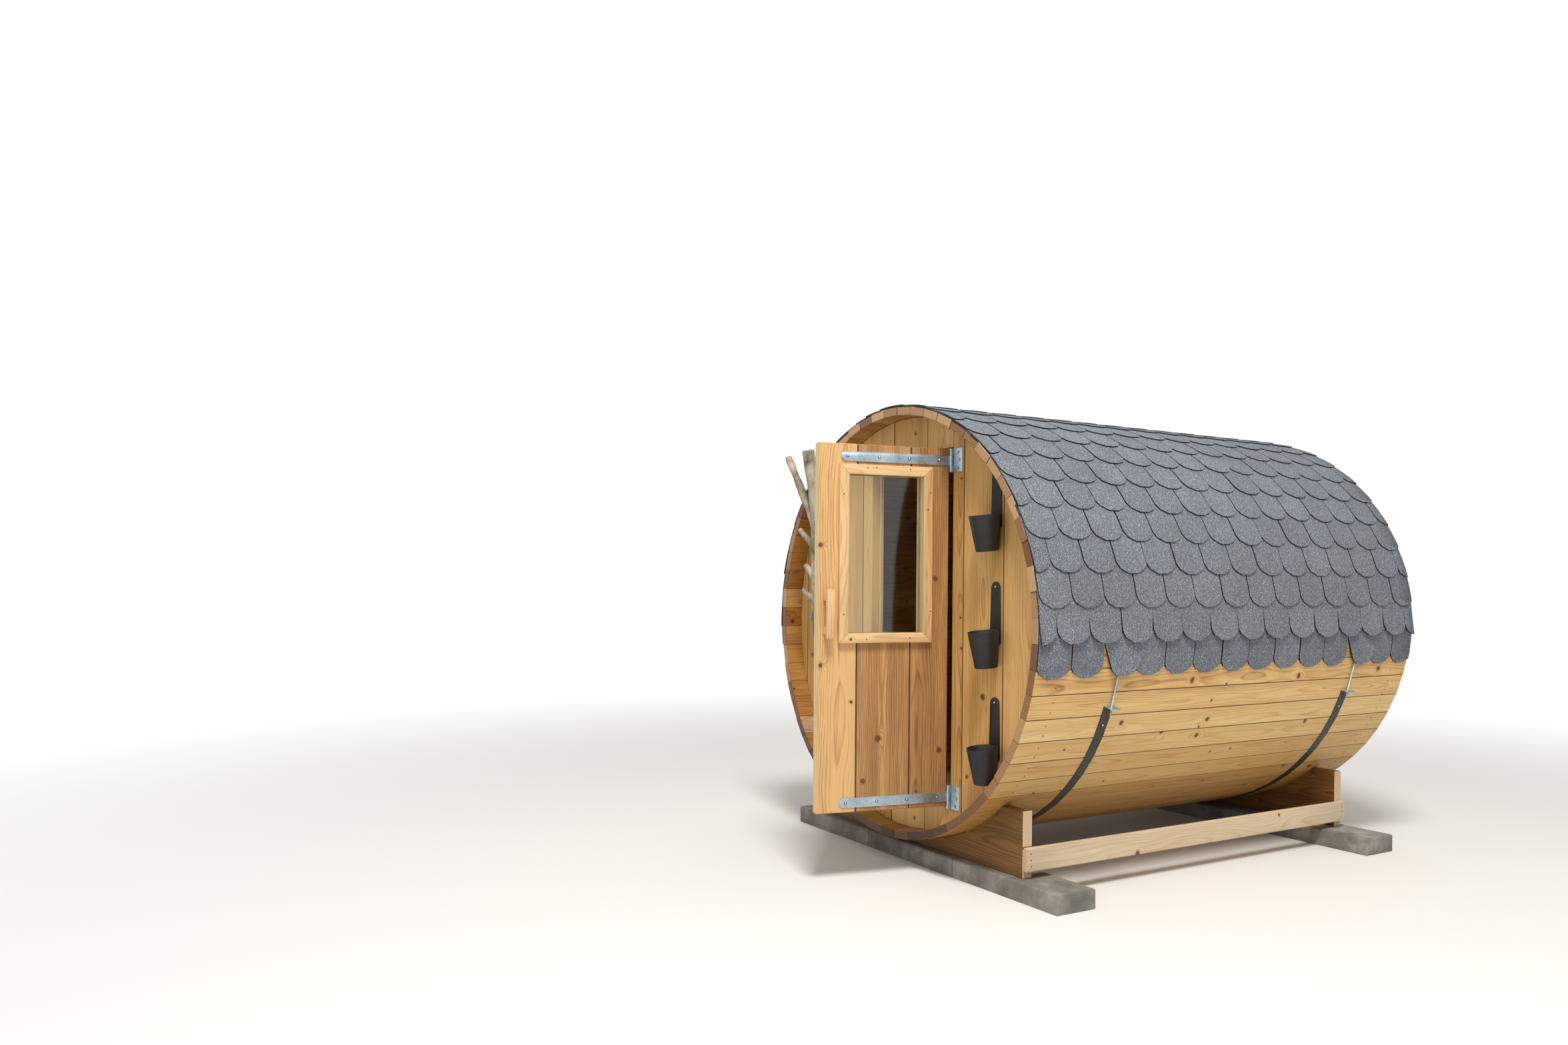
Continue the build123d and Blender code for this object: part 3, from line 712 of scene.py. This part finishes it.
# A dark ring under each screw head is painted shadow, for the shade in a hole a little too wide for the
# screw
screw_shadow, tree, surface = new_material("painted shadow round screw head", 0.9)
mottle(tree, surface, 800, 2, (0.35, "#15120f"), (0.7, "#2e2822"))
hole_shadow = disc(16, screw_radius * 1.1)
edit(hole_shadow)
bpy.ops.mesh.extrude_region_move(TRANSFORM_OT_translate={"value": (0, 0, 0.0004)})
bpy.ops.transform.resize(value=(1.3, 1.3, 1), center_override=(0, 0, 0))
close_up()
hole_shadow.data.materials.append(screw_shadow)
screw_pattern.data.materials.append(galvanised)
screw_pattern = join([screw_pattern, hole_shadow], "screw")
strap_face = -0.005
plate_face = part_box("top_hinge_plate")[1].y - 0.003
door_screws, wall_screws = [], []
for end in ("top", "bottom"):
    strap_low, strap_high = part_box(f"{end}_hinge_strap")
    strap_height = (strap_low.z + strap_high.z) / 2
    for along in strap_screws:
        place = hinge_axis + leaf_along * along + leaf_out * strap_face
        place.z = strap_height
        door_screws.append(drive(screw_pattern, f"{end}_strap_screw", place, leaf_out))
    for across, rise in plate_screws:
        place = Vector((across, plate_face, strap_height + rise))
        wall_screws.append(drive(screw_pattern, f"{end}_plate_screw", place, -inward))
set_screws(door_screws, "strap_screws", "door")
set_screws(wall_screws, "plate_screws", "hut")
bpy.data.objects.remove(screw_pattern)

# Wire nails: plain steel that has dulled to brown
dull_steel, tree, surface = new_material("rusted wire nail", 0.6, 0.6)
mottle(tree, surface, 600, 2, (0.35, "#2a1d14"), (0.7, "#5b4636"))
nail_pattern = screw_head("nail", nail_radius, nail_height, nail_recess)
nails = []
for along, rise in frame_nails:
    place = hinge_axis + leaf_along * along + up * rise
    for depth, way in frame_faces:
        nails.append(drive(nail_pattern, "frame_nail", place + leaf_out * depth, leaf_out * way))
place_on(join(nails, "frame_nails"), "door", "galvanised_steel", of=dull_steel)
# The staves are nailed to the end walls, and the rails to the cradles
nails = [drive(nail_pattern, "stave_nail", place, outward) for place, outward in stave_nail_places]
for side, way in (("left", -1), ("right", 1)):
    rail_low, rail_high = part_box(f"{side}_rail")
    outer = rail_high.x if way > 0 else rail_low.x
    for end in (rail_low.y + rail_nail_inset, rail_high.y - rail_nail_inset):
        for rise in rail_nails:
            y = end + chance.uniform(-0.003, 0.003)
            place = Vector((outer, y, (rail_low.z + rail_high.z) / 2 + rise))
            nails.append(drive(nail_pattern, "rail_nail", place, right * way))
place_on(join(nails, "stave_nails"), "hut", "galvanised_steel", of=dull_steel)
bpy.data.objects.remove(nail_pattern)

# Roof felt: bitumen felt with slate-grey stone granules, cut into round-ended tabs and nailed
# in courses from the eaves up, each course half a tab along from the one below.
tab_pitch = 0.172
tab_width = 0.166
tab_exposure = 0.136
tab_round = 0.064
tab_round_half = 0.089
tab_lap = 0.150
tab_length = tab_exposure + tab_lap
tab_thickness = 0.0055
tab_turns = 12
felt_surface = 0.9715
eaves_surface = 0.9662
felt_lift = 0.0058
eaves_angle = math.radians(-11.12)
barrel_radius = 0.960
course_angle = tab_exposure / barrel_radius
course_count = 12
first_slot = 0.172
askew_tabs = (2, 11)
askew_turn = math.radians(22)
askew_bulge = 0.0115
curl = 0.010
askew_pivot = 0.150
bulge_height = 0.12

# Granules are slate chips of 2 mm pressed into the bitumen.
# Most are mid grey, some are dark and a few are pale and catch the light.
felt, tree, surface = new_material("slate granule roofing felt", 0.9)
spot = add(tree, "TexCoord").outputs["Object"]
tone = add(tree, "Attribute", attribute_name="tone").outputs["Fac"]
granules = add(tree, "TexVoronoi", Scale=500, Vector=spot)
shade = add(tree, "SeparateColor", Color=granules.outputs["Color"])
stone = add(tree, "ValToRGB",
            stops=[(0.0, "#41454a"), (0.45, "#656a71"), (0.88, "#7f848b"), (0.97, "#bcc0c4")],
            Fac=shade.outputs["Red"])
weather = add(tree, "TexNoise", Scale=5, Detail=5, Vector=spot)
cast = add(tree, "Math MULTIPLY_ADD", tone, 0.14, 0.78)
cast = add(tree, "Math MULTIPLY_ADD", weather, 0.35, cast)
tinted = add(tree, "VectorMath SCALE", stone, Scale=cast)
grit = add(tree, "Bump", Strength=0.5, Distance=0.0008, Height=shade.outputs["Green"])
feed(surface, Base_Color=tinted, Normal=grit)

# Cut edge of the felt: black bitumen with a few broken granules
cut_felt, tree, surface = new_material("cut bitumen edge", 0.75)
mottle(tree, surface, 500, 2, (0.5, "#0d0d0f"), (0.75, "#2c2e31"))


def about(point, turn):
    # A turn about a point
    return Matrix.Translation(point) @ turn @ Matrix.Translation(-point)


def felt_strip(name, width, length, surface_radius, tilt):
    # A strip of felt on the barrel's right side, from its lower edge at the axis's height
    # upwards. It is spun about the axis and leans out at its lower edge.
    pick()
    bpy.ops.mesh.primitive_plane_add(size=1)
    strip = bpy.context.object
    strip.name = name
    edit(strip)
    bpy.ops.transform.resize(value=(0, width, 1))
    bpy.ops.mesh.remove_doubles(threshold=0.0001)
    bpy.ops.transform.translate(value=(surface_radius, 0, axis_height))
    bpy.ops.mesh.spin(steps=6, angle=length / surface_radius, center=axis, axis=(0, 1, 0))
    bpy.ops.mesh.select_all(action="SELECT")
    bpy.ops.mesh.remove_doubles(threshold=0.00002)
    bpy.ops.mesh.normals_make_consistent(inside=False)
    done()
    top_edge = Matrix.Rotation(-length / surface_radius, 4, "Y") @ Vector((surface_radius, 0, 0)) + axis
    strip.data.transform(about(top_edge, Matrix.Rotation(-tilt, 4, "Y")))
    return strip


def thicken(strip):
    modify(strip, "SOLIDIFY", thickness=tab_thickness, offset=-1)
    # The sheet faces outwards, whichever way the spin left it
    outer = max(strip.data.polygons, key=lambda f: (f.center - axis).length)
    if outer.normal @ (outer.center - axis) < 0:
        strip.data.flip_normals()
    smooth(strip, 30)
    strip.data.materials.append(felt)
    strip.data.materials.append(cut_felt)
    for face in strip.data.polygons:
        outward = Vector((face.center.x, 0, face.center.z - axis_height)).normalized()
        if face.normal @ outward < 0.5:
            face.material_index = 1


def round_end(strip):
    # Trims the lower corners to part of an ellipse with short straight cuts
    first = math.acos(tab_width / 2 / tab_round_half)
    turns = [first + (math.pi - 2 * first) * k / tab_turns for k in range(tab_turns + 1)]
    outline = [Vector((0, -tab_round_half * math.cos(t), tab_round * (1 - math.sin(t)))) for t in turns]
    for start, end in zip(outline, outline[1:]):
        edge = end - start
        edit(strip)
        bpy.ops.mesh.bisect(plane_co=start + axis, plane_no=Vector((0, edge.z, -edge.y)), clear_outer=True)
        done()


def felt_tab(name, surface_radius, tilt):
    tab = felt_strip(name, tab_width, tab_length, surface_radius, tilt)
    round_end(tab)
    thicken(tab)
    return tab


tab_tilt = math.atan(felt_lift / tab_exposure)
roof_tab = felt_tab("roof_tab", felt_surface - felt_lift * tab_length / tab_exposure, tab_tilt)
eaves_tab = felt_tab("eaves_tab", eaves_surface, 0.0)


def lay_tab(pattern, name, y, angle, tone, skew, raise_by, pivot, bulge):
    # A copy of a tab at its place along the barrel and its angle up the side, swung askew
    # about a point above its lower edge
    piece = another(pattern, name)
    head_point = Matrix.Rotation(-pivot / felt_surface, 4, "Y") @ Vector((felt_surface, 0, 0))
    swing = about(axis + head_point, Matrix.Rotation(skew, 4, head_point.normalized()))
    for vertex in piece.data.vertices:
        vertex.co.x += bulge * max(0.0, 1 - (vertex.co.z - axis_height) / bulge_height) ** 2
    turn = about(axis, Matrix.Rotation(-angle, 4, "Y"))
    outward = Vector((math.cos(angle), 0, math.sin(angle)))
    piece.data.transform(Matrix.Translation(Vector((0, y, 0)) + outward * raise_by) @ turn @ swing)
    set_tone(piece, tone)
    return piece


def trim_felt(piece, point, normal):
    # Cuts felt, and leaves the cut black
    trim(piece, point, normal)
    for face in piece.data.polygons:
        if face.normal @ normal > 0.99:
            face.material_index = 1


def trim_ends(piece):
    # Cuts a course off at the ends of the barrel, by eye, so to within a few millimetres
    trim_felt(piece, Vector((0, barrel_back - 0.0005 - chance.uniform(0, 0.003), 0)), inward)
    trim_felt(piece, Vector((0, barrel_front + 0.0005 + chance.uniform(0, 0.003), 0)), -inward)


for side in ("right", "left"):
    courses = []
    for k in range(course_count):
        first = first_slot - tab_pitch * (0.5 if k % 2 == 0 else 1.0)
        laid = []
        for n in range(-1, 16):
            y = barrel_front + first + tab_pitch * n
            if y + tab_width / 2 < barrel_front or y - tab_width / 2 > barrel_back:
                continue
            tone = chance.random()
            skew = chance.uniform(-0.012, 0.012)
            lift = chance.uniform(-0.0008, 0.0)
            pattern, pivot, bulge = (roof_tab if k else eaves_tab), tab_length, 0.0
            # The rod of a band pushes the lower half of an askew tab outwards, and on the sunny
            # side the course above has curled a little
            if k == 0 and n in askew_tabs:
                pattern, skew, pivot, bulge = roof_tab, askew_turn, askew_pivot, askew_bulge
            elif k == 1 and side == "right":
                bulge = curl
            angle = eaves_angle + course_angle * k
            laid.append(lay_tab(pattern, f"felt_{side}_{k}_{n}", y, angle, tone, skew, lift, pivot, bulge))
        course = join(laid, f"felt_{side}_{k}" if k else f"eaves_tabs_{side}")
        trim_ends(course)
        if k == course_count - 1:
            trim_felt(course, axis, -right)
        courses.append(course)
    if side == "left":
        for course in courses:
            course.data.transform(Matrix.Scale(-1, 4, right))
            course.data.flip_normals()
    place_on(courses[0], "hut", "felt", f"lowest_tabs_{side}")
    place_on(join(courses[1:], f"felt_courses_{side}"), "hut", "felt", f"roof_felt_{side}")
for pattern in (roof_tab, eaves_tab):
    bpy.data.objects.remove(pattern)

# Ridge: caps of the same felt, bent over the crest so that they lap both sides' last
# courses, each lapping the next one towards the back.
cap_half = 0.086
cap_length = 0.190
cap_exposure = 0.136
cap_lift = 0.0045
cap_count = 19
first_cap = 0.06
cap_surface = 0.9719
cap_pattern = felt_strip("ridge_cap", cap_length, 2 * cap_half, cap_surface, 0.0)
thicken(cap_pattern)
upright = Matrix.Rotation(-(math.pi / 2 - cap_half / cap_surface), 4, "Y")
dip = about(Vector((0, -cap_length / 2, cap_surface)), Matrix.Rotation(-cap_lift / cap_exposure, 4, "X"))
cap_pattern.data.transform(about(axis, dip @ upright))
caps = []
for n in range(cap_count):
    cap = another(cap_pattern, f"ridge_cap_{n}")
    y = barrel_front + first_cap + cap_exposure * n
    cap.data.transform(Matrix.Translation((0, y, chance.uniform(-0.0005, 0))))
    set_tone(cap, chance.random())
    caps.append(cap)
ridge = join(caps, "ridge_caps")
trim_ends(ridge)
place_on(ridge, "hut", "felt", "roof_felt_top")
bpy.data.objects.remove(cap_pattern)

# Bands: black strip steel round the lower half of the barrel, each pulled up by a threaded rod
# and a nut through a zinc-plated lug on either side.
band_ends = math.radians(-19.2)
band_half = 0.025
lug_half = 0.028
band_screw = math.radians(-23.5)
band_screw_sizes = (0.0048, 0.0022, 0.0014)
band_screw_sunk, band_screw_forward = 0.001, 0.009
rod_ends = math.radians(-22.5)
rod_half = 0.0045
rod_foot_out, rod_foot_down = 0.9195, 0.3237
rod_way = Vector((-0.2425, 0, -0.970))
rod_longer = 0.020
cad_half = 0.0195
strip_drift = 0.010
lug_drift = 0.004
strip_steel, tree, surface = new_material("black strip steel", 0.45, 0.3)
scuffs = mottle(tree, surface, 60, 4, (0.35, "#252623"), (0.7, "#3d3e39"))
feed(surface, Roughness=add(tree, "MapRange", To_Min=0.35, To_Max=0.6, Value=scuffs))
band_screws = []


def climb(point):
    # The angle of a point up the barrel's side
    return math.atan2(point.z - axis_height, abs(point.x))


for end in ("front", "back"):
    band = copy_of(f"{end}_band", f"{end}_band_steel")
    band_middle = sum(corner.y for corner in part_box(f"{end}_band")) / 2
    # The strip wanders forward towards its ends, the lugs are a little wider than it, and the
    # rods stand out below their nuts
    for vertex in band.data.vertices:
        offset = vertex.co.y - band_middle
        angle = climb(vertex.co)
        if abs(offset) > cad_half:
            if angle < band_ends:
                drift = strip_drift * min(1.0, max(0.0, (angle + 1.4) / 1.1)) ** 2
                vertex.co.y = band_middle - drift + math.copysign(band_half, offset)
            else:
                vertex.co.y = band_middle - lug_drift + math.copysign(lug_half, offset)
        elif (abs(offset) < rod_half and vertex.co.z < axis_height - rod_foot_down
              and abs(vertex.co.x) < rod_foot_out):
            way = Matrix.Scale(math.copysign(1, vertex.co.x), 3, right)
            vertex.co += way @ rod_way * rod_longer
    ease(band, steel_edge, 1, 60)
    smooth(band)
    band.data.materials.append(strip_steel)
    band.data.materials.append(galvanised)
    reach = max((v.co - axis).xz.length for v in band.data.vertices if v.co.z < axis_height - 0.4)
    for face in band.data.polygons:
        if climb(face.center) > band_ends:
            face.material_index = 1
        elif climb(face.center) > rod_ends:
            face.material_index = (face.center - axis).xz.length > reach + 0.0008
    place_on(band, "hut", "black_band", f"{end}_band")
    for way in (1, -1):
        outward = Vector((way * math.cos(band_screw), 0, math.sin(band_screw)))
        head = screw_head("band_screw", *band_screw_sizes)
        place = (axis + outward * (reach - band_screw_sunk)
                 + inward * (band_middle - band_screw_forward))
        head.data.transform(facing(place, outward))
        band_screws.append(head)
set_screws(band_screws, "band_screws", "hut", galvanised)

# Wall pots: moulded black polypropylene with a matt skin, empty. Each hangs on the front wall
# from a flat tongue with a round end, which a screw holds.
matt_black, tree, surface = new_material("matt black polypropylene", 0.55)
spot = add(tree, "TexCoord").outputs["Object"]
skin = add(tree, "TexNoise", Scale=900, Detail=2, Vector=spot)
dust = add(tree, "TexNoise", Scale=18, Detail=4, Vector=spot)
olive = add(tree, "ValToRGB", stops=[(0.4, "#121211"), (0.75, "#1f1f1c")], Fac=dust)
grain = add(tree, "Bump", Strength=0.3, Distance=0.0004, Height=skin)
feed(surface, Base_Color=olive, Normal=grain)
pot_tilt = math.radians(6.5)
hanger_half = 0.027
hanger_rise = 0.193
hanger_foot = -0.055
hanger_thickness = 0.0046
hanger_gap = 0.0003
hanger_edge = 0.0012
pot_edge = 0.0007
hanger_flare = 1.25
screw_below_top = 0.021
wall_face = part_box("front_wall_right")[0].y
pot_screw = screw_head("pot_screw", screw_radius, screw_height, screw_recess)
pot_screws = []
for place in ("top", "middle", "bottom"):
    pot_low, pot_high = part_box(f"wall_pot_{place}")
    pot = copy_of(f"wall_pot_{place}", f"wall_pot_{place}_moulding")
    rim = max(v.co.z for v in pot.data.vertices if v.co.y < wall_face - 0.03)
    trim(pot, Vector((0, 0, rim + 0.0005)), up)
    ease(pot, pot_edge, 2, 50)
    # A pot hangs from its rim, and its tapered back lies against the wall
    pot.data.transform(about(Vector((0, wall_face, rim)), Matrix.Rotation(pot_tilt, 4, "X")))
    # The hanger is a flat tongue with a round end that widens towards the pot
    hanger = disc(28, hanger_half)
    hanger.name = f"wall_pot_{place}_hanger"
    pot_middle = (pot_low.x + pot_high.x) / 2
    edit(hanger)
    bpy.ops.transform.rotate(value=math.radians(-90), orient_axis="X", center_override=(0, 0, 0))
    bpy.ops.transform.translate(value=(pot_middle, wall_face - hanger_gap, rim + hanger_rise - hanger_half))
    bpy.ops.mesh.extrude_region_move(TRANSFORM_OT_translate={"value": (0, -hanger_thickness, 0)})
    close_up()
    for vertex in hanger.data.vertices:
        if vertex.co.z < rim + hanger_rise - hanger_half - 0.001:
            vertex.co.z = rim + hanger_foot
            vertex.co.x = pot_middle + (vertex.co.x - pot_middle) * hanger_flare
    ease(hanger, hanger_edge, 2, 50)
    pot = join([pot, hanger], f"wall_pot_{place}_moulding")
    smooth(pot)
    place_on(pot, "hut", "pot_plastic", f"wall_pot_{place}", of=matt_black)
    hanger_face = wall_face - hanger_gap - hanger_thickness
    head_place = Vector((pot_middle, hanger_face, rim + hanger_rise - screw_below_top))
    pot_screws.append(drive(pot_screw, f"{place}_pot_screw", head_place, -inward))
set_screws(pot_screws, "pot_screws", "hut", galvanised)
bpy.data.objects.remove(pot_screw)

# Driftwood: a forked branch stripped of its bark, bleached silver grey, with broken stubs. It
# leans on the wall and the ends of the staves, left of the door.
bleached, tree, surface = new_material("bleached driftwood", 0.8)
spot = add(tree, "TexCoord").outputs["Object"]
fibre = drawn_out(tree, spot, (90, 90, 9), Detail=4, Roughness=0.6)
patches = add(tree, "TexNoise", Scale=11, Detail=2, Vector=spot)
depth = add(tree, "Math MULTIPLY", patches, 0.8)
depth = add(tree, "Math MULTIPLY_ADD", fibre, 0.6, depth)
silver = add(tree, "ValToRGB",
             stops=[(0.48, "#574d3c"), (0.6, "#8a7f69"), (0.74, "#a89e88"), (0.95, "#c4bba8")], Fac=depth)
cracks = add(tree, "Bump", Strength=0.8, Distance=0.002, Height=fibre)
feed(surface, Base_Color=silver, Normal=cracks)
# Each limb is a line of points, across, inward and up from the barrel's axis, with a radius
limbs = [
    [(-0.714, -0.103, -0.145, 0.017), (-0.706, -0.122, -0.060, 0.020), (-0.690, -0.135, 0.020, 0.022),
     (-0.672, -0.150, 0.120, 0.023), (-0.645, -0.165, 0.220, 0.025), (-0.632, -0.176, 0.300, 0.026),
     (-0.606, -0.188, 0.390, 0.029), (-0.584, -0.200, 0.490, 0.031), (-0.600, -0.206, 0.600, 0.030),
     (-0.624, -0.208, 0.700, 0.0300), (-0.660, -0.209, 0.838, 0.0305)],
    [(-0.596, -0.195, 0.430, 0.024), (-0.614, -0.203, 0.487, 0.022), (-0.657, -0.207, 0.557, 0.020),
     (-0.707, -0.209, 0.622, 0.019), (-0.800, -0.210, 0.750, 0.0175), (-0.856, -0.210, 0.822, 0.0155)],
    [(-0.614, -0.184, 0.340, 0.020), (-0.665, -0.198, 0.390, 0.0155), (-0.736, -0.210, 0.448, 0.0125)],
    [(-0.646, -0.165, 0.180, 0.019), (-0.656, -0.184, 0.222, 0.0155), (-0.684, -0.207, 0.270, 0.012)],
    [(-0.674, -0.150, 0.080, 0.018), (-0.688, -0.178, 0.106, 0.014), (-0.715, -0.207, 0.143, 0.0115)],
    [(-0.694, -0.130, -0.010, 0.018), (-0.728, -0.140, 0.012, 0.014)],
]


def grow_limb(points):
    # A round section that is drawn out from point to point and resized at each one
    places = [Vector(point[:3]) + axis for point in points]
    radius = points[0][3]
    limb = disc(12, radius)
    limb.data.transform(facing(places[0], (places[1] - places[0]).normalized()))
    edit(limb)
    for place, last, point in zip(places[1:], places, points[1:]):
        bpy.ops.mesh.extrude_region_move(TRANSFORM_OT_translate={"value": place - last})
        scale = point[3] / radius
        bpy.ops.transform.resize(value=(scale, scale, scale), center_override=place)
        radius = point[3]
    close_up()
    return limb


branch = join([grow_limb(points) for points in limbs], "driftwood_branch")
modify(branch, "REMESH", mode="VOXEL", voxel_size=0.004)
modify(branch, "SMOOTH", iterations=4)
knobs = bpy.data.textures.new("branch knobs", "CLOUDS")
knobs.noise_scale = 0.11
modify(branch, "DISPLACE", texture=knobs, strength=0.010, mid_level=0.4)
smooth(branch, 60)
place_on(branch, "hut", "driftwood", "driftwood_rack", of=bleached)

# Stage: a plain pale floor that fades to white, soft studio light from all round with one
# square lamp, and the photograph's viewpoint.


def looked_at(tree):
    # 1 for what the camera, a mirror or glass sees, and 0 for the light that things gather
    path = add(tree, "LightPath")
    seen = add(tree, "Math MAXIMUM", path.outputs["Is Camera Ray"], path.outputs["Is Glossy Ray"])
    return add(tree, "Math MAXIMUM", seen, path.outputs["Is Transmission Ray"])


scene = bpy.context.scene
scene.view_settings.view_transform = "Standard"
pick()
bpy.ops.mesh.primitive_plane_add(size=60, location=(0, 1, 0))
ground = bpy.context.object
ground.name = "studio_floor"
floor_paint, tree, surface = new_material("pale studio floor", 0.9)
feed(surface, Base_Color=linear("#e9e7e2"))
spot = add(tree, "TexCoord").outputs["Object"]
distance = add(tree, "VectorMath LENGTH", spot).outputs["Value"]
far = add(tree, "MapRange", interpolation_type="SMOOTHSTEP", From_Min=2.6, From_Max=7.5, Value=distance)
fade = add(tree, "Math MULTIPLY", far, looked_at(tree))
haze = add(tree, "Emission", Color=(1, 1, 1, 1), Strength=1.0)
feed(tree.nodes["Material Output"], Surface=add(tree, "MixShader", fade, surface, haze))
ground.data.materials.append(floor_paint)

world = bpy.data.worlds.new("studio")
scene.world = world
world.use_nodes = True
tree = world.node_tree
level = add(tree, "MapRange", To_Min=0.55, To_Max=1.0, Value=looked_at(tree))
feed(tree.nodes["Background"], Color=(1, 1, 1, 1), Strength=level)

key_data = bpy.data.lights.new("key", "AREA")
key_data.shape = "RECTANGLE"
key_data.size, key_data.size_y = 2.0, 2.0
key_data.energy = 660
key = bpy.data.objects.new("key", key_data)
scene.collection.objects.link(key)
key.location = (3.9, -2.3, 8.2)
key.rotation_euler = (Vector((0, 0.8, 1.0)) - key.location).to_track_quat("-Z", "Y").to_euler()

camera_data = bpy.data.cameras.new("viewpoint")
camera = bpy.data.objects.new("viewpoint", camera_data)
scene.collection.objects.link(camera)
scene.camera = camera
focal_pixels = 1655.97
photo_width, photo_height = 2352, 1568
principal_row = 900
camera_data.sensor_width = 36
camera_data.lens = focal_pixels / photo_width * camera_data.sensor_width
camera_data.shift_y = (principal_row - photo_height / 2) / photo_width
camera_data.clip_end = 100
azimuth, dip, roll = 1.0476, 0.0149, 0.0068
turn = Matrix.Rotation(azimuth, 4, "Z") @ Matrix.Rotation(math.pi / 2 - dip, 4, "X")
camera.matrix_world = (Matrix.Translation((4.0548, -3.0623, 1.2465)) @ turn
                       @ Matrix.Rotation(roll, 4, "Z"))
